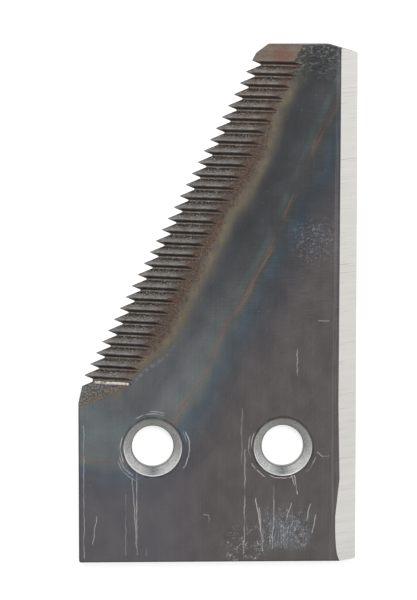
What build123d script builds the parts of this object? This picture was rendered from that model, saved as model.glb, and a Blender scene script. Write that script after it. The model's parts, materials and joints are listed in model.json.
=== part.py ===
from build123d import *

import os
from math import cos, floor, radians, sin, tan

# Knife section: a flat hardened steel cutting blade for a forage or crop cutter.
#
# The blade lies on its flat underside at z = 0, face up. X runs from the serrated side to the ground
# side, Y from the base edge to the narrow nose, and the origin is midway between the two fixing holes.
# Sizes are in millimetres and degrees.

# Blank
blade_length = 130.4  # base edge to the flat nose
base_width = 70.0
stock = 4.0  # thickness of the plate
straight_side = 40.2  # the plain stretch of the serrated side, up from the base edge
shoulder_rise = 7.3  # from there up to the lowest tooth
shoulder_set = 1.68  # how far that tooth stands in from the plain stretch
slant_angle = 28.05  # the line of the teeth, from the blade's length
nose_slope_run = 7.3  # the nose falls away towards the ground side
nose_slope_drop = 2.2
nose_corner_run = 1.9  # the corner between the teeth and the nose is cut off
nose_corner_drop = 2.3
nose_corner_radius = 1.2
slope_radius = 4.0
ground_nose_radius = 0.4
base_corner_radius = 0.5
edge_rollover = 0.3  # radius that the shears leave round the face

# Fixing holes
hole_pitch = 32.7
hole_rise = 29.3  # hole centres above the base edge
hole_diameter = 10.5
countersink_diameter = 14.7
countersink_angle = 90.0

# Serrated bevel
bevel_width = 9.1  # measured square to the line of the teeth
runout_rise = 39.25  # where the cutter lifts off: its line on the face meets the straight side here
runout_turn = 24.2  # and climbs this much from the line of the base edge
runout_angle = 50.0  # slope of the step that it leaves, from the face
serration_pitch = 25.4 / 9  # nine teeth to the inch
serration_angle = 94.0  # between the two flanks of a groove
serration_depth = 1.17  # below the bevel, straight down
serration_root_radius = 0.3
lowest_serration = 46.1  # root of the lowest groove above the base edge
lowest_floor = 0.4  # and the flat floor that only this groove has, below its root
plain_nose = 4.5  # least length of bevel left plain at the nose

# Ground bevel of the straight side: its width on the face, at the nose, above the heel, at the
# heel where it is widest and at the base edge, with heights above the base edge
ground_width_nose = 4.35
ground_width_middle = 4.7
ground_width_heel = 5.4
ground_width_base = 4.6
ground_middle_rise = 40.0
ground_heel_rise = 11.4
heel_steps = 6  # flats that make up the curve of the heel

clear = 5.0  # how far the cutters reach past the blank

# Places that follow from the sizes
left = -base_width / 2
right = base_width / 2
base = -hole_rise
nose = base + blade_length
lowest_tip = (left + shoulder_set, base + straight_side + shoulder_rise)
slant = radians(slant_angle)
bevel_rise = stock / bevel_width * cos(slant)  # climb of the bevel for each millimetre of X


def tip_line_x(y):
    """X of the line of the teeth at the height y."""
    return lowest_tip[0] + (y - lowest_tip[1]) * tan(slant)


def serration_roots():
    """Y of each groove's root, from the lowest one up to the plain nose."""
    span = blade_length - plain_nose - lowest_serration
    count = floor(span / serration_pitch) + 1
    return [base + lowest_serration + n * serration_pitch for n in range(count)]


def ground_width(rise):
    """Width of the ground bevel on the face, at this height above the base edge."""
    if rise <= ground_heel_rise:
        lift = (1 - rise / ground_heel_rise) ** 3
        return ground_width_heel + (ground_width_base - ground_width_heel) * lift
    if rise <= ground_middle_rise:
        part_way = (rise - ground_heel_rise) / (ground_middle_rise - ground_heel_rise)
        return ground_width_heel + (ground_width_middle - ground_width_heel) * part_way
    part_way = (rise - ground_middle_rise) / (blade_length - ground_middle_rise)
    return ground_width_middle + (ground_width_nose - ground_width_middle) * part_way


# Blank: a straight side, a slanted side and a nose that falls away to the right
with BuildPart() as knife_section:
    with BuildSketch():
        corner_start = (tip_line_x(nose - nose_corner_drop), nose - nose_corner_drop)
        corner_end = (tip_line_x(nose) + nose_corner_run, nose)
        slope_start = (right - nose_slope_run, nose)
        slope_end = (right, nose - nose_slope_drop)
        with BuildLine():
            Polyline(
                (left, base),
                (left, base + straight_side),
                lowest_tip,
                corner_start,
                corner_end,
                slope_start,
                slope_end,
                (right, base),
                close=True,
            )
        make_face()
        corners = {
            corner_start: nose_corner_radius,
            corner_end: nose_corner_radius,
            slope_start: slope_radius,
            slope_end: ground_nose_radius,
            (left, base): base_corner_radius,
            (right, base): base_corner_radius,
        }
        for corner, radius in corners.items():
            fillet(vertices().sort_by_distance((*corner, 0))[0], radius=radius)
    extrude(amount=stock)
    fillet(faces().sort_by(Axis.Z)[-1].edges(), radius=edge_rollover)

# Wedge that the serrated bevel takes off, stopped by the plane where the cutter lifts off
with BuildPart() as bevel_waste:
    across = (cos(slant), -sin(slant), 0)
    down_the_edge = (-sin(slant), -cos(slant), 0)
    reach = clear * stock / bevel_width
    with BuildSketch(Plane((*lowest_tip, 0), x_dir=across, z_dir=down_the_edge)):
        with BuildLine():
            Polyline(
                (-clear, -reach),
                (bevel_width + clear, stock + reach),
                (-clear, stock + reach),
                close=True,
            )
        make_face()
    extrude(amount=blade_length, both=True)
    turn = radians(runout_turn)
    lean = radians(runout_angle)
    lift_off = Plane(
        (left, base + runout_rise, stock),
        x_dir=(cos(turn), sin(turn), 0),
        z_dir=(-sin(turn) * sin(lean), cos(turn) * sin(lean), cos(lean)),
    )
    split(bisect_by=lift_off, keep=Keep.TOP)

# Section of one groove, on a plane square to X: a V with a rounded root at the origin
flank_rise = 1 / tan(radians(serration_angle / 2))
bevel_fall = bevel_rise * tan(slant)
groove_height = serration_depth * flank_rise / (flank_rise - bevel_fall) + serration_root_radius
half_width = groove_height / flank_rise
with BuildSketch() as groove:
    with BuildLine():
        Polyline((0, 0), (half_width, groove_height), (-half_width, groove_height), close=True)
    make_face()
    fillet(vertices().sort_by(Axis.Y)[0], radius=serration_root_radius)

# Serrations: the grooves run along X, climb as steeply as the bevel and end in points on the face
with BuildPart() as serration_waste:
    start = left - clear
    with BuildSketch(Plane.YZ.offset(start)):
        places = [
            (y, bevel_rise * (start - tip_line_x(y)) - serration_depth) for y in serration_roots()
        ]
        lowest_y, lowest_z = places[0]
        places.append((lowest_y - lowest_floor, lowest_z))
        with Locations(*places):
            add(groove.sketch)
    run = tip_line_x(nose) - start + (stock + serration_depth) / bevel_rise + clear
    grade = Vector(1, 0, bevel_rise)
    extrude(amount=run * grade.length, dir=grade)

# Wedge that the ground bevel takes off: widest near the heel, and lifting away at the base edge
with BuildPart() as ground_waste:
    heel_rises = [ground_heel_rise * n / heel_steps for n in range(-1, heel_steps + 1)]
    for rise in heel_rises + [ground_middle_rise, blade_length + clear]:
        width = ground_width(rise)
        with BuildSketch(Plane((right, base + rise, 0), x_dir=(-1, 0, 0), z_dir=(0, 1, 0))):
            with BuildLine():
                Polyline((-width, -stock), (2 * width, 2 * stock), (-width, 2 * stock), close=True)
            make_face()
    loft(ruled=True)

with knife_section:
    add(bevel_waste.part, mode=Mode.SUBTRACT)
    add(serration_waste.part, mode=Mode.SUBTRACT)
    add(ground_waste.part, mode=Mode.SUBTRACT)
    with Locations((-hole_pitch / 2, 0, stock), (hole_pitch / 2, 0, stock)):
        CounterSinkHole(hole_diameter / 2, countersink_diameter / 2, stock, countersink_angle)

knife_section.part.label = "knife_section"

os.makedirs("parts", exist_ok=True)
export_step(knife_section.part, "parts/knife_section.step")
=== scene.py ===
import json
from math import cos, pi, radians, sin

import bpy
import numpy as np
from mathutils import Euler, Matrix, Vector


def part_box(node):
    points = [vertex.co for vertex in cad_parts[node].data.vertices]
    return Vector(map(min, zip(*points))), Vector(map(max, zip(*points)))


# Knife section: a flat cutting blade of hardened spring steel with a serrated bevel on its slanted
# side and a plain ground bevel on its straight side. It lies on its flat back, face up, with its
# nose along +Y. Objects are in metres, and lengths named here are in millimetres.

MM = 0.001

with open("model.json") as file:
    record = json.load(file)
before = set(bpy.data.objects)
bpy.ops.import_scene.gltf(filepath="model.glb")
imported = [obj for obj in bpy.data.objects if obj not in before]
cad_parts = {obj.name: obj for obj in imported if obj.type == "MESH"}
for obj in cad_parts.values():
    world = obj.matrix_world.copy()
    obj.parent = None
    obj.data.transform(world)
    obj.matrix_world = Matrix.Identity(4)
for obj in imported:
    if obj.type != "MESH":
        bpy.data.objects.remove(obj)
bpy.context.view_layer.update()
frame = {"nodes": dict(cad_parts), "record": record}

blade = frame["nodes"]["knife_section"]
low, high = (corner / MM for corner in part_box("knife_section"))
mounts = {mount["name"]: mount for mount in frame["record"]["mounts"]}
holes = [Vector(mounts[name]["pos_m"]) / MM for name in ("left_bore", "right_bore")]
bore_radius = mounts["left_bore"]["dims"]["r_mm"]

# Sizes of the blade that its finishes follow
countersink_radius = 7.35
slant = radians(28.05)  # the line of the teeth, from the blade's length
lowest_tip = Vector((low.x + 1.68, low.y + 47.5, 0))
serration_pitch = 25.4 / 9
lowest_root = low.y + 46.1
bevel_width = 9.1  # serrated bevel, square to the line of the teeth
ground_width = 6.5  # a little more than the ground bevel's widest place
runout_turn = radians(24.2)  # line where the cutter lifts off, from the line of the base edge
runout_start = Vector((low.x, low.y + 39.25, 0))


# Colours and nodes


def linear(code):
    """The linear colour of an sRGB hex code such as "5b5654"."""
    values = [int(code[i : i + 2], 16) / 255 for i in (0, 2, 4)]
    parts = [v / 12.92 if v <= 0.04045 else ((v + 0.055) / 1.055) ** 2.4 for v in values]
    return (*parts, 1.0)


def add(tree, kind, inputs=None, stops=None, **settings):
    """Adds a node, sets it up and joins its inputs, and gives its first live output.

    An input is a plain value or another node's output, under its socket's name or number. The
    stops of a colour ramp are pairs of a place from 0 to 1 and a hex code."""
    node = tree.nodes.new("ShaderNode" + kind)
    for name, value in settings.items():
        setattr(node, name, value)
    for key, value in (inputs or {}).items():
        if isinstance(key, int):
            socket = node.inputs[key]
        else:
            socket = next(s for s in node.inputs if s.name == key and s.enabled)
        if isinstance(value, bpy.types.NodeSocket):
            tree.links.new(value, socket)
        else:
            socket.default_value = value
    if stops:
        elements = node.color_ramp.elements
        while len(elements) < len(stops):
            elements.new(1.0)
        for element, (place, code) in zip(elements, sorted(stops)):
            element.position = place
            element.color = linear(code)
    return next(s for s in node.outputs if s.enabled)


def new_material(name):
    """An empty material: its tree and the place on the blade in millimetres."""
    material = bpy.data.materials.new(name)
    material.use_nodes = True
    tree = material.node_tree
    tree.nodes.clear()
    node = tree.nodes.new("ShaderNodeTexCoord")
    place = add(tree, "VectorMath", {0: node.outputs["Object"], "Scale": 1 / MM}, operation="SCALE")
    return material, tree, place


def add_output(tree, surface):
    node = tree.nodes.new("ShaderNodeOutputMaterial")
    tree.links.new(surface, node.inputs["Surface"])


# Masks: values from 0 to 1 over the blade


def all_of(tree, *masks):
    result = masks[0]
    for mask in masks[1:]:
        result = add(tree, "Math", {0: result, 1: mask}, operation="MULTIPLY")
    return result


def any_of(tree, *masks):
    result = masks[0]
    for mask in masks[1:]:
        result = add(tree, "Math", {0: result, 1: mask}, operation="MAXIMUM")
    return result


def fade(tree, value, start, end):
    """Rises from 0 at start to 1 at end, where end may be the lower value."""
    ends = (0.0, 1.0) if start < end else (1.0, 0.0)
    inputs = {"Value": value, "From Min": min(start, end), "From Max": max(start, end)}
    inputs.update({"To Min": ends[0], "To Max": ends[1]})
    return add(tree, "MapRange", inputs, interpolation_type="SMOOTHSTEP")


def grains(tree, place, size, detail=2.0, least=0.35, most=0.65, twist=0.0):
    """Random grains that are so many millimetres long in X, Y and Z; least to most set their share."""
    stretched = add(tree, "VectorMath", {0: place, 1: [1 / s for s in size]}, operation="MULTIPLY")
    noise = {"Vector": stretched, "Scale": 1.0, "Detail": detail, "Distortion": twist}
    value = add(tree, "TexNoise", noise)
    return add(tree, "MapRange", {"Value": value, "From Min": least, "From Max": most})


def straight_mark(tree, place, start, end, width):
    """1 on a straight mark from start to end, 0 off it."""
    start = Vector((*start, 0))
    run = Vector((*end, 0)) - start
    from_start = add(tree, "VectorMath", {0: place, 1: start}, operation="SUBTRACT")
    unit = run / run.length_squared
    share = add(tree, "VectorMath", {0: from_start, 1: unit}, operation="DOT_PRODUCT")
    share = add(tree, "Math", {0: share, 1: 0.0}, operation="ADD", use_clamp=True)
    nearest = add(tree, "VectorMath", {0: run, "Scale": share}, operation="SCALE")
    away = add(tree, "VectorMath", {0: from_start, 1: nearest}, operation="DISTANCE")
    return fade(tree, away, 0.6 * width, 0.3 * width)


def round_mark(tree, place, centre, radius, middle, spread, width):
    """1 on an arc whose middle and half spread are in degrees, 0 off it."""
    out = add(tree, "VectorMath", {0: place, 1: centre}, operation="SUBTRACT")
    away = add(tree, "VectorMath", {0: out}, operation="LENGTH")
    away = add(tree, "Math", {0: away, 1: radius}, operation="SUBTRACT")
    away = add(tree, "Math", {0: away}, operation="ABSOLUTE")
    way = add(tree, "VectorMath", {0: out}, operation="NORMALIZE")
    facing = (cos(radians(middle)), sin(radians(middle)), 0)
    facing = add(tree, "VectorMath", {0: way, 1: facing}, operation="DOT_PRODUCT")
    edge = cos(radians(spread))
    within = fade(tree, facing, edge - 0.02, edge + 0.02)
    return all_of(tree, fade(tree, away, 0.6 * width, 0.3 * width), within)


def teeth_frame(tree, place):
    """Millimetres across the blade and along it, from the line of the teeth and its lowest tip."""
    from_tip = add(tree, "VectorMath", {0: place, 1: lowest_tip}, operation="SUBTRACT")
    ways = ((cos(slant), -sin(slant), 0), (sin(slant), cos(slant), 0))
    return [
        add(tree, "VectorMath", {0: from_tip, 1: way}, operation="DOT_PRODUCT") for way in ways
    ]


# Coats of colour


def painted(tree, colour, code, *masks):
    """The colour with another one laid over it, as far as all the masks together let it."""
    inputs = {"Factor": all_of(tree, *masks), "A": colour, "B": linear(code)}
    return add(tree, "Mix", inputs, data_type="RGBA")


def shaded(tree, colour, *parts):
    """The colour made lighter and darker by masks, each given with how much it does."""
    level = 1 - sum(amount for mask, amount in parts) / 2
    for mask, amount in parts:
        level = add(tree, "Math", {0: mask, 1: amount, 2: level}, operation="MULTIPLY_ADD")
    return add(tree, "HueSaturation", {"Value": level, "Color": colour})


def steel(tree, colour, roughness, metallic, height=None):
    """Ends a material as steel, with its bumps of height in millimetres where they are given."""
    shader = {"Base Color": colour, "Roughness": roughness, "Metallic": metallic}
    if height is not None:
        shader["Normal"] = add(tree, "Bump", {"Height": height, "Distance": MM, "Strength": 0.5})
    add_output(tree, add(tree, "BsdfPrincipled", shader))


# Scratches of handling on the face: start, end and strength
scratches = [
    ((-33.7, 5.5), (-33.7, -28.0), 0.45),
    ((-21.6, -8.0), (-20.9, -15.5), 0.5),
    ((-20.9, -15.5), (-20.6, -24.5), 0.6),
    ((-20.4, -5.5), (-20.4, -27.4), 0.6),
    ((-23.2, -12.0), (-23.2, -27.4), 0.25),
    ((-30.5, -17.5), (-31.5, -24.5), 0.5),
    ((-18.1, -25.6), (-18.1, -27.6), 0.4),
    ((6.9, -0.6), (6.6, -27.0), 0.55),
    ((6.0, 10.0), (6.0, -4.5), 0.3),
    ((14.2, -10.0), (13.8, -25.8), 0.5),
    ((9.5, -13.0), (11.0, -22.3), 0.85),
    ((10.4, -15.6), (11.4, -26.6), 0.6),
    ((18.5, -6.8), (19.3, -9.8), 0.7),
    ((19.3, -7.4), (20.0, -11.9), 0.85),
    ((18.5, -14.4), (17.0, -19.2), 0.6),
    ((23.3, -14.6), (22.3, -18.8), 0.6),
    ((24.7, -17.4), (23.8, -21.8), 0.7),
    ((25.0, -1.3), (26.3, -2.4), 0.6),
    ((26.3, -2.4), (27.8, -2.4), 0.6),
    ((-3.6, -17.1), (-2.3, -17.2), 0.5),
    ((-2.3, -17.2), (-2.3, -19.2), 0.6),
    ((19.9, 24.8), (19.9, 18.2), 1.0),
    ((25.3, 31.9), (27.8, 31.9), 0.5),
]

# Marks that chips left round the holes: hole, radius, middle and half spread in degrees, strength
ring_marks = [
    (0, 8.6, 97, 24, 0.6),
    (0, 9.2, 83, 10, 0.7),
    (0, 8.2, 184, 22, 0.8),
    (0, 8.7, 214, 34, 0.6),
    (0, 9.4, 222, 22, 0.5),
    (0, 9.2, 356, 30, 0.8),
    (0, 8.6, 20, 10, 0.4),
    (1, 7.9, 166, 12, 0.8),
    (1, 8.6, 178, 16, 0.6),
    (1, 8.8, 224, 16, 0.7),
    (1, 8.0, 268, 22, 0.7),
    (1, 8.7, 328, 14, 0.6),
]

# Tints that the heat of hardening left, by distance from the teeth as a share of heat_reach
heat_reach = 50.0
heat_tints = [
    (0.31, "57595b"),
    (0.37, "55585a"),
    (0.43, "606264"),
    (0.47, "606465"),
    (0.51, "636262"),
    (0.54, "5c6162"),
    (0.59, "4f5459"),
    (0.67, "4e4d50"),
    (0.78, "575252"),
]


def heat_distance(tree, place, across, along):
    """Distance from the torch's path along the teeth: the bands bend round their lower end, waver a
    little and draw nearer to the teeth at the nose."""
    beyond = add(tree, "Math", {0: along, 1: 0.0}, operation="MINIMUM")
    around = add(tree, "CombineXYZ", {"X": across, "Y": all_of(tree, beyond, 1.25)})
    distance = add(tree, "VectorMath", {0: around}, operation="LENGTH")
    waver = grains(tree, place, (14, 20, 14), 1.0, 0.3, 0.7)
    for shift, size in ((waver, 2.2), (fade(tree, along, 62, 92), 2.6)):
        distance = add(tree, "Math", {0: shift, 1: size, 2: distance}, operation="MULTIPLY_ADD")
    return add(tree, "Math", {0: distance, 1: 1.1}, operation="SUBTRACT")


def tempered_face():
    """Hardened and tempered spring steel plate, rolled and then torch hardened along the teeth.

    The rolling leaves a dark, faintly streaked skin. The heat leaves thin oxide films whose colour
    follows how hot each place was, so straw, grey, blue and rose lie in bands beside the teeth."""
    material, tree, place = new_material("tempered_spring_steel")
    place = add(tree, "VectorMath", {0: place, 1: (1, 1, 0)}, operation="MULTIPLY")
    x = add(tree, "SeparateXYZ", {0: place})
    y = x.node.outputs["Y"]
    across, along = teeth_frame(tree, place)
    heat = heat_distance(tree, place, across, along)
    colour = add(tree, "ValToRGB", {"Fac": all_of(tree, heat, 1 / heat_reach)}, stops=heat_tints)

    # Painted darker towards the nose, beside the teeth
    darker_towards_nose = all_of(tree, fade(tree, along, 2, 62), fade(tree, heat, 37, 26))
    darker = {"Factor": darker_towards_nose, "A": colour, "B": linear("b9b8ba")}
    colour = add(tree, "Mix", darker, data_type="RGBA", blend_type="MULTIPLY")

    # Pale grey round the lower end of the teeth, and thin rose and gold lines beside a blue band
    colour = painted(tree, colour, "61686a", fade(tree, along, -2, -9), fade(tree, heat, 24, 19), 0.8)
    flow = add(tree, "CombineXYZ", {"X": heat, "Y": along})
    patches = grains(tree, place, (5, 10, 5), 1.0, 0.38, 0.6)
    lines = grains(tree, flow, (0.55, 14, 1), 2.0, 0.3, 0.6)
    rose = all_of(tree, fade(tree, heat, 24.4, 25.6), fade(tree, heat, 27.0, 25.9), patches)
    colour = painted(tree, colour, "7c655c", rose, lines, 0.6)
    teal = all_of(tree, fade(tree, heat, 22.6, 24.0), fade(tree, heat, 25.2, 24.4), patches)
    colour = painted(tree, colour, "596b68", teal, 0.3)
    blue = all_of(tree, fade(tree, heat, 26.6, 28.4), fade(tree, heat, 32, 29), patches)
    colour = painted(tree, colour, "465462", blue, 0.4)

    # Straw, then scorched oil, between the grooves' ends and the grey; both narrow to nothing at
    # the lower end of the teeth, where the straw has a pale broken rim
    lower_end = fade(tree, along, 21, 2)
    toned = add(tree, "Math", {0: lower_end, 1: 4.5, 2: heat}, operation="MULTIPLY_ADD")
    beside_teeth = all_of(tree, fade(tree, along, -3, 2), fade(tree, along, 91.5, 88.5))
    cloud = grains(tree, place, (1.6, 2.6, 1), 3.0)
    straw = all_of(tree, fade(tree, toned, 17.4, 13.6), beside_teeth)
    colour = painted(tree, colour, "605a52", straw, 0.85)
    glow = all_of(tree, fade(tree, toned, 12.2, 13.6), fade(tree, toned, 15.8, 14.0), beside_teeth)
    colour = painted(tree, colour, "71664f", glow, cloud, 0.6)
    ragged = grains(tree, place, (0.9, 1.1, 1), 3.0, 0.3, 0.7)
    ragged = add(tree, "Math", {0: ragged, 1: 2.4, 2: toned}, operation="MULTIPLY_ADD")
    scorched = all_of(tree, fade(tree, ragged, 14.6, 13.0), beside_teeth)
    colour = painted(tree, colour, "544b45", scorched, 0.85)
    colour = painted(tree, colour, "604536", scorched, cloud, 0.5)
    crust = grains(tree, place, (0.5, 0.4, 1), 3.0, 0.45, 0.7)
    colour = painted(tree, colour, "221d1a", scorched, crust, 0.6)
    bared = grains(tree, place, (0.4, 0.3, 1), 3.0, 0.6, 0.7)
    colour = painted(tree, colour, "a59c90", scorched, bared, 0.5)
    rim = all_of(tree, fade(tree, toned, 15.6, 16.2), fade(tree, toned, 17.2, 16.5), lower_end)
    flakes = grains(tree, place, (0.9, 1.4, 1), 2.0, 0.4, 0.6)
    colour = painted(tree, colour, "85888a", rim, fade(tree, along, 3, 8), flakes, 0.6)

    # Rolled skin: long faint streaks, mottling and fine grain, which is drawn about four times as
    # coarse as the real grain of 0.07 mm so that it shows
    streaks = grains(tree, place, (0.5, 22, 1), 2.0)
    mottle = grains(tree, place, (5, 7, 1), 4.0)
    grain = grains(tree, place, (0.28, 0.35, 1), 2.0)
    colour = shaded(tree, colour, (streaks, 0.07), (mottle, 0.13), (grain, 0.14), (lines, 0.05))
    ribs = all_of(tree, grains(tree, place, (4, 0.3, 1), 3.0), fade(tree, y, 16, 45))
    colour = painted(tree, colour, "353536", ribs, fade(tree, heat, 15, 22), 0.28)
    # Painted lighter and bluer towards the lower left
    colour = painted(tree, colour, "5b5d68", fade(tree, y, -2, -9), fade(tree, x, 0, -14), 0.3)

    # Scale and dents at the nose, olive near the facet and blue-black towards the ground bevel
    at_nose = fade(tree, y, high.y - 11, high.y - 2)
    colour = painted(tree, colour, "4d4c45", fade(tree, along, 87, 92), fade(tree, x, 24, 19), 0.7)
    scale = grains(tree, place, (1.2, 0.6, 1), 4.0, 0.52, 0.62, 1.2)
    colour = painted(tree, colour, "8d8b82", at_nose, scale, 0.5)
    pits = grains(tree, place, (1.2, 0.7, 1), 4.0, 0.5, 0.64, 0.8)
    colour = painted(tree, colour, "22221f", at_nose, pits, 0.6)

    # A strip rubbed pale along the foot of the ground bevel
    lip_x = add(tree, "Math", {0: y, 1: -0.0095, 2: x}, operation="MULTIPLY_ADD")
    strip = all_of(tree, fade(tree, lip_x, 28.4, 28.9), fade(tree, lip_x, 29.6, 29.2))
    colour = painted(tree, colour, "77777a", strip, streaks, 0.4)

    # Rubbing of stacked blades, low on the right: pale bluish lines under short scribbles, and
    # chips at the foot of the blade and near its ground side
    rubbed_x = all_of(tree, fade(tree, x, 9, 14), fade(tree, x, 25, 20))
    rubbed_y = all_of(tree, fade(tree, y, -13, -21), fade(tree, y, -27, -24.5))
    rubbed = all_of(tree, rubbed_x, rubbed_y, grains(tree, place, (2.2, 3, 1), 1.0, 0.38, 0.56))
    rubs = grains(tree, place, (0.3, 5, 1), 3.0, 0.4, 0.64)
    colour = painted(tree, colour, "76838a", rubbed, rubs, 0.7)
    scribbled = fade(tree, y, -11, -14)
    scribble = grains(tree, place, (0.7, 1.5, 1), 3.0, 0.57, 0.65, 2.5)
    colour = painted(tree, colour, "c3c6c7", rubbed_x, rubbed_y, scribbled, scribble, 0.55)
    foot = all_of(tree, fade(tree, y, -19, -24), fade(tree, x, 0, 3), fade(tree, x, 14, 10))
    chips = grains(tree, place, (0.7, 0.6, 1), 4.0, 0.56, 0.64, 1.5)
    clumps = grains(tree, place, (2.4, 2.4, 1), 1.0, 0.45, 0.58)
    colour = painted(tree, colour, "c3c3c1", foot, chips, clumps, 0.65)
    chipped = (24.5, 52, 0)
    away = add(tree, "VectorMath", {0: place, 1: chipped}, operation="DISTANCE")
    colour = painted(tree, colour, "818c95", fade(tree, away, 8, 3), chips, 0.5)
    nicks = grains(tree, place, (0.5, 0.9, 1), 3.0, 0.7, 0.78)
    colour = painted(tree, colour, "a8aaab", nicks, clumps, 0.4)

    # Scratches, slightly bent and fading in and out. Real ones are about 0.1 mm wide, and they are
    # drawn 0.24 mm wide so that they show
    scratch_width = 0.24
    bent = add(tree, "TexNoise", {"Vector": place, "Scale": 0.4, "Detail": 2.0}).node.outputs["Color"]
    bent = add(tree, "VectorMath", {0: bent, 1: (0.5, 0.5, 0.5)}, operation="SUBTRACT")
    bent = add(tree, "VectorMath", {0: bent, 1: (0.8, 0.8, 0), 2: place}, operation="MULTIPLY_ADD")
    marks = [
        all_of(tree, straight_mark(tree, bent, start, end, scratch_width), strength)
        for start, end, strength in scratches
    ]
    for hole, radius, middle, spread, strength in ring_marks:
        centre = (*holes[hole].xy, 0)
        arc = round_mark(tree, bent, centre, radius, middle, spread, scratch_width)
        marks.append(all_of(tree, arc, strength))
    broken = grains(tree, place, (1.6, 4.5, 1), 3.0, 0.3, 0.52)
    colour = painted(tree, colour, "c2c3c2", any_of(tree, *marks), broken, 0.75)

    # Painted shadow of the turned-up edge just outside each countersink
    rim_shadow_radius = countersink_radius + 0.25
    rim_shadows = [round_mark(tree, bent, (*hole.xy, 0), rim_shadow_radius, 0, 180, 0.5) for hole in holes]
    colour = painted(tree, colour, "262423", any_of(tree, *rim_shadows), broken, 0.5)

    # The edges that the shears left are darker
    side_edge = fade(tree, x, low.x + 0.5, low.x + 0.25)
    base_edge = fade(tree, y, low.y + 0.5, low.y + 0.25)
    nose_edge = fade(tree, y, high.y - 0.6, high.y - 0.3)
    colour = painted(tree, colour, "3b3836", any_of(tree, side_edge, base_edge, nose_edge), 0.5)

    roughness = add(tree, "MapRange", {"Value": mottle, "To Min": 0.36, "To Max": 0.5})
    dents = all_of(tree, grains(tree, place, (3.0, 2.2, 1), 2.0, 0.2, 0.8), at_nose, 0.25)
    height = add(tree, "Math", {0: grain, 1: 0.01, 2: dents}, operation="MULTIPLY_ADD")
    steel(tree, colour, roughness, 0.92, height)
    return material


# Tones round one groove, from its root towards the nose as a share of the pitch, with light and
# shade painted in: a painted highlight at the root, painted shade on the wall that faces the base,
# a painted highlight on the crest, the wall that faces the nose, and a dark line near that wall's
# foot
groove_shading_and_tones = [
    (0.00, "6d6863"),
    (0.10, "625d59"),
    (0.19, "3f3b38"),
    (0.25, "54514e"),
    (0.32, "827f7c"),
    (0.44, "787572"),
    (0.60, "686461"),
    (0.70, "575350"),
    (0.80, "363130"),
    (0.88, "443e3a"),
    (0.95, "68625c"),
]


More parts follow.
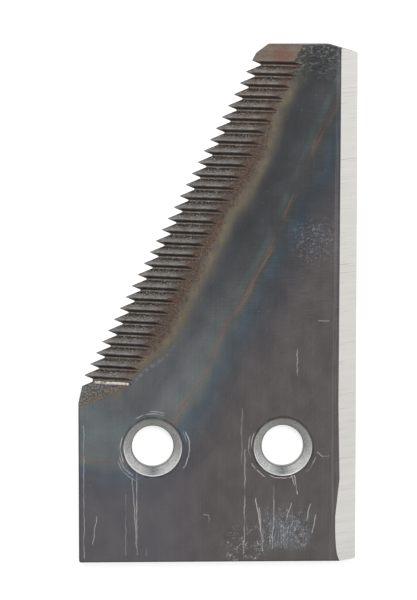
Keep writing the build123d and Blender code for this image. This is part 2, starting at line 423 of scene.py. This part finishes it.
def serrated_bevel():
    """The same steel with serrations milled across the bevel before hardening.

    Milling leaves fine lines along each groove, drawn 0.16 mm wide, about three times the real
    ones, so that they show. Oil burnt on in the hardening browns the walls in patches and leaves
    nearly black specks. The tones round each groove paint light and shade in: shade on the walls,
    and a highlight on the roots and on the crests, which are rubbed back to grey metal."""
    material, tree, place = new_material("milled_serrations")
    across, along = teeth_frame(tree, place)
    y = add(tree, "SeparateXYZ", {0: place}).node.outputs["Y"]
    wobble = grains(tree, place, (3.0, 40, 40), 2.0, 0.2, 0.8)
    wobble = add(tree, "Math", {0: wobble, 1: 0.16, 2: -lowest_root - 0.08}, operation="MULTIPLY_ADD")
    from_root = add(tree, "Math", {0: y, 1: wobble}, operation="ADD")
    phase = add(tree, "Math", {0: all_of(tree, from_root, 1 / serration_pitch)}, operation="FRACT")
    # Painted shade on the walls and painted highlights on the crests and roots, by the groove's phase
    colour = add(tree, "ValToRGB", {"Fac": phase}, stops=groove_shading_and_tones)

    # Lines of the cutter along each groove, and burnt oil in patches
    milled = grains(tree, place, (5.0, 0.16, 0.16), 2.0)
    speckle = grains(tree, place, (0.45, 0.3, 0.3), 3.0)
    stain = grains(tree, place, (2.2, 0.8, 0.8), 2.0)
    colour = shaded(tree, colour, (milled, 0.3), (speckle, 0.42), (stain, 0.3))
    wall = all_of(tree, fade(tree, phase, 0.5, 0.68), fade(tree, phase, 1.0, 0.92))
    oil = grains(tree, place, (1.3, 0.5, 0.5), 3.0, 0.42, 0.6)
    colour = painted(tree, colour, "4a3b30", wall, oil, 0.4)
    crust = grains(tree, place, (0.9, 0.35, 0.35), 3.0, 0.56, 0.66)
    colour = painted(tree, colour, "262220", crust, 0.5)
    glints = grains(tree, place, (0.4, 0.28, 0.28), 3.0, 0.56, 0.66)
    colour = painted(tree, colour, "c4bfb6", wall, glints, 0.55)

    # The grooves' ends are scorched like the face beside them, and the nose more than the rest
    groove_end = fade(tree, across, 7.2, 9.2)
    colour = painted(tree, colour, "544a44", groove_end, 0.5)
    rust = grains(tree, place, (0.7, 0.5, 1), 3.0, 0.55, 0.65)
    colour = painted(tree, colour, "6b3f33", groove_end, rust, 0.5)
    colour = painted(tree, colour, "624c3e", fade(tree, along, 55, 88), oil, 0.35)
    facet = all_of(tree, fade(tree, y, high.y - 4.6, high.y - 4.1), fade(tree, across, 9.6, 8.6))
    colour = painted(tree, colour, "6a5f55", facet, 0.75)
    mauve = (low.x + 50.8, high.y - 2.4, 3)
    away = add(tree, "VectorMath", {0: place, 1: mauve}, operation="DISTANCE")
    patches = grains(tree, place, (1.4, 1.0, 1), 2.0, 0.25, 0.55)
    colour = painted(tree, colour, "6b463e", fade(tree, away, 3.8, 0.8), patches, 0.6)

    # Step where the cutter lifted off: grey and speckled, with straw along its upper line
    step = fade(tree, from_root, -1.0, -1.25)
    colour = painted(tree, colour, "403f3d", step)
    colour = painted(tree, colour, "757370", step, grains(tree, place, (0.4, 0.4, 0.4), 3.0, 0.4, 0.6))
    from_line = add(tree, "VectorMath", {0: place, 1: runout_start}, operation="SUBTRACT")
    inward = (-sin(runout_turn), cos(runout_turn), 0)
    from_line = add(tree, "VectorMath", {0: from_line, 1: inward}, operation="DOT_PRODUCT")
    straw = all_of(tree, fade(tree, from_line, 1.7, 0.9), step, grains(tree, place, (1.5, 1, 1)))
    colour = painted(tree, colour, "6b5637", straw, 0.5)
    # Painted highlight along the wall of the lowest groove that faces the nose
    flat = add(tree, "VectorMath", {0: place, 1: (1, 1, 0)}, operation="MULTIPLY")
    last_wall_highlight = straight_mark(tree, flat, (-30.6, 16.15), (-22.6, 16.1), 0.6)
    breaks = grains(tree, place, (0.9, 1, 1), 2.0, 0.3, 0.5)
    colour = painted(tree, colour, "e4ddd3", last_wall_highlight, breaks, 0.85)

    steel(tree, colour, 0.42, 0.92, all_of(tree, milled, 0.02))
    return material


def ground_bevel():
    """Hardened steel surface-ground with a coarse wheel across the edge, and left bright.

    The wheel leaves fine straight lines square to the edge, a few deeper than the rest. They are
    drawn 0.24 mm wide, several times the real ones, so that they show."""
    material, tree, place = new_material("ground_bright_steel")
    y = add(tree, "SeparateXYZ", {0: place}).node.outputs["Y"]
    share = add(tree, "MapRange", {"Value": y, "From Min": low.y, "From Max": high.y})
    colour = add(tree, "ValToRGB", {"Fac": share}, stops=[(0.0, "c2c1bd"), (1.0, "ceccc7")])
    fine = grains(tree, place, (30, 0.24, 40), 3.0)
    broad = grains(tree, place, (40, 1.6, 40), 1.0)
    colour = shaded(tree, colour, (fine, 0.08), (broad, 0.04))
    colour = painted(tree, colour, "96948f", grains(tree, place, (12, 0.3, 40), 1.0, 0.64, 0.7), 0.4)
    steel(tree, colour, 0.34, 1.0, all_of(tree, fine, 0.01))
    return material


# Painted reflection round a countersink, from the side that faces -X and on through the base side:
# lighter in a broad fan on the lower left and on the lower right, where the rings of the cutter
# mirror the light, and darker at the base side and the top
countersink_painted_reflection = [
    (0.00, "aaaaa9"),
    (0.10, "c2c2c3"),
    (0.16, "cccccd"),
    (0.25, "7e7f80"),
    (0.34, "bebebd"),
    (0.40, "c8c8c6"),
    (0.50, "a9a9a7"),
    (0.62, "9c9c9b"),
    (0.75, "959590"),
    (0.88, "a5a5a2"),
    (1.00, "aaaaa9"),
]


def machined_countersink():
    """The same steel cut by a countersink, bare and bright, with the cutter's rings left in it.

    The rings are drawn 0.18 mm wide, about twice the real ones, so that they show."""
    material, tree, place = new_material("machined_countersink")
    x = add(tree, "SeparateXYZ", {0: place})
    y = x.node.outputs["Y"]
    side = add(tree, "Math", {0: x}, operation="SIGN")
    out_x = add(tree, "Math", {0: side, 1: -holes[1].x, 2: x}, operation="MULTIPLY_ADD")
    out = add(tree, "CombineXYZ", {"X": out_x, "Y": y})
    radius = add(tree, "VectorMath", {0: out}, operation="LENGTH")
    angle = add(tree, "Math", {0: y, 1: out_x}, operation="ARCTAN2")
    turn = add(tree, "MapRange", {"Value": angle, "From Min": -pi, "From Max": pi})
    colour = add(tree, "ValToRGB", {"Fac": turn}, stops=countersink_painted_reflection)
    around = add(tree, "CombineXYZ", {"X": radius, "Y": all_of(tree, turn, 5.0), "Z": side})
    cut = grains(tree, around, (0.18, 1.0, 1.0), 2.0)
    chatter = grains(tree, place, (0.5, 0.35, 1), 3.0)
    colour = shaded(tree, colour, (cut, 0.28), (chatter, 0.3))
    # Painted highlight on the lower side of the mouth and painted shade on its upper side
    mouth = fade(tree, radius, countersink_radius - 0.35, countersink_radius - 0.1)
    colour = painted(tree, colour, "ecebe9", mouth, fade(tree, y, 2.5, -2.5), 0.7)
    colour = painted(tree, colour, "5f5f5b", mouth, fade(tree, y, 1.0, 4.5), 0.7)
    throat = fade(tree, radius, bore_radius + 0.35, bore_radius + 0.05)
    colour = painted(tree, colour, "5f5f5d", throat, 0.75)
    steel(tree, colour, 0.34, 1.0, all_of(tree, cut, 0.02))
    return material


def sheared_side():
    """The same plate where the shears cut it: a burnished upper third above a torn, darker rest."""
    material, tree, place = new_material("sheared_edge")
    torn = grains(tree, place, (0.3, 0.3, 1.6), 3.0)
    z = add(tree, "SeparateXYZ", {0: place}).node.outputs["Z"]
    burnished = fade(tree, z, 2.3, 2.8)
    colour = painted(tree, linear("3b3735"), "5a5552", torn)
    colour = painted(tree, colour, "75716e", burnished, 0.6)
    roughness = add(tree, "MapRange", {"Value": burnished, "To Min": 0.6, "To Max": 0.38})
    steel(tree, colour, roughness, 0.9, all_of(tree, torn, 0.05))
    return material


def rolled_back():
    """The same plate with its rolled and heat-treated skin: dark, dull and faintly streaked."""
    material, tree, place = new_material("rolled_back")
    colour = painted(tree, linear("4c4948"), "5f5c5a", grains(tree, place, (6, 9, 6), 4.0))
    colour = painted(tree, colour, "6a6867", grains(tree, place, (0.6, 24, 1)), 0.2)
    steel(tree, colour, 0.46, 0.9)
    return material


finishes = [
    tempered_face(),
    serrated_bevel(),
    ground_bevel(),
    machined_countersink(),
    sheared_side(),
    rolled_back(),
]
FACE, SERRATED, GROUND, COUNTERSINK, SIDE, BACK = range(6)


def give_finishes():
    """Gives each face of the blade its finish, from where it is and which way it faces."""
    mesh = blade.data
    count = len(mesh.polygons)
    centres = np.empty(count * 3)
    mesh.polygons.foreach_get("center", centres)
    normals = np.empty(count * 3)
    mesh.polygons.foreach_get("normal", normals)
    x, y, z = centres.reshape(-1, 3).T / MM
    nx, ny, nz = normals.reshape(-1, 3).T
    to_hole = np.min([np.hypot(x - hole.x, y - hole.y) for hole in holes], axis=0)
    across = (x - lowest_tip.x) * cos(slant) - (y - lowest_tip.y) * sin(slant)
    rolled_over = (z > high.z - 0.35) & ((across > bevel_width + 0.3) | (y < runout_start.y))
    finish = np.full(count, SERRATED)
    finish[(nz > 0.999) | rolled_over] = FACE
    finish[nz < -0.999] = BACK
    finish[(nx > 0.3) & (nz > 0.3) & (x > high.x - ground_width) & ~rolled_over] = GROUND
    finish[np.abs(nz) < 0.05] = SIDE
    finish[(to_hole < countersink_radius) & (np.abs(nz) < 0.999)] = COUNTERSINK
    mesh.materials.clear()
    for material in finishes:
        mesh.materials.append(material)
    mesh.polygons.foreach_set("material_index", finish.astype(np.int32))
    mesh.update()


give_finishes()


# Stage, light and camera

camera_tilt = radians(7.3)  # towards the nose
camera_lean = radians(1.9)  # towards the serrated side
camera_distance = 0.9
seen_height = 0.1506  # of the picture, at the aim
aim = Vector((-2.23, 36.8, 0)) * MM


def add_camera():
    data = bpy.data.cameras.new("camera")
    camera = bpy.data.objects.new("camera", data)
    bpy.context.scene.collection.objects.link(camera)
    turn = Euler((-camera_tilt, -camera_lean, 0)).to_matrix()
    camera.rotation_euler = turn.to_euler()
    camera.location = aim + turn @ Vector((0, 0, camera_distance))
    data.lens = data.sensor_width * camera_distance / seen_height
    bpy.context.scene.camera = camera


def add_softbox(name, place, size, power):
    data = bpy.data.lights.new(name, "AREA")
    data.shape = "SQUARE"
    data.size = size
    data.energy = power
    lamp = bpy.data.objects.new(name, data)
    bpy.context.scene.collection.objects.link(lamp)
    lamp.location = place
    lamp.rotation_euler = (-Vector(place)).to_track_quat("-Z", "Y").to_euler()


def seen_directly(tree):
    """1 for rays from the camera, from a reflection or through something clear, 0 for the rest."""
    path = tree.nodes.new("ShaderNodeLightPath")
    return any_of(tree, *[path.outputs[f"Is {ray} Ray"] for ray in ("Camera", "Glossy", "Transmission")])


def add_floor():
    """White paper: seen as white, with a faint shadow of the blade on it."""
    half = 1.5
    drop = -0.00005
    mesh = bpy.data.meshes.new("floor")
    corners = [(-half, -half, drop), (half, -half, drop), (half, half, drop), (-half, half, drop)]
    mesh.from_pydata(corners, [], [(0, 1, 2, 3)])
    floor = bpy.data.objects.new("floor", mesh)
    bpy.context.scene.collection.objects.link(floor)
    material, tree, place = new_material("white_paper")
    strength = all_of(tree, seen_directly(tree), 0.62)
    glow = add(tree, "Emission", {"Color": linear("ffffff"), "Strength": strength})
    paper = add(tree, "BsdfDiffuse", {"Color": linear("d0d0d0")})
    add_output(tree, add(tree, "AddShader", {0: paper, 1: glow}))
    mesh.materials.append(material)


def set_world():
    world = bpy.data.worlds.new("studio")
    bpy.context.scene.world = world
    world.use_nodes = True
    tree = world.node_tree
    tree.nodes.clear()
    strength = add(tree, "MapRange", {"Value": seen_directly(tree), "To Min": 0.5, "To Max": 1.0})
    background = add(tree, "Background", {"Color": linear("ffffff"), "Strength": strength})
    node = tree.nodes.new("ShaderNodeOutputWorld")
    tree.links.new(background, node.inputs["Surface"])


add_camera()
add_floor()
set_world()
add_softbox("key_softbox", (-0.2, 0.9, 1.0), 0.9, 9)
add_softbox("side_softbox", (0.9, 0.1, 0.8), 0.7, 4)

scene = bpy.context.scene
scene.view_settings.view_transform = "Standard"
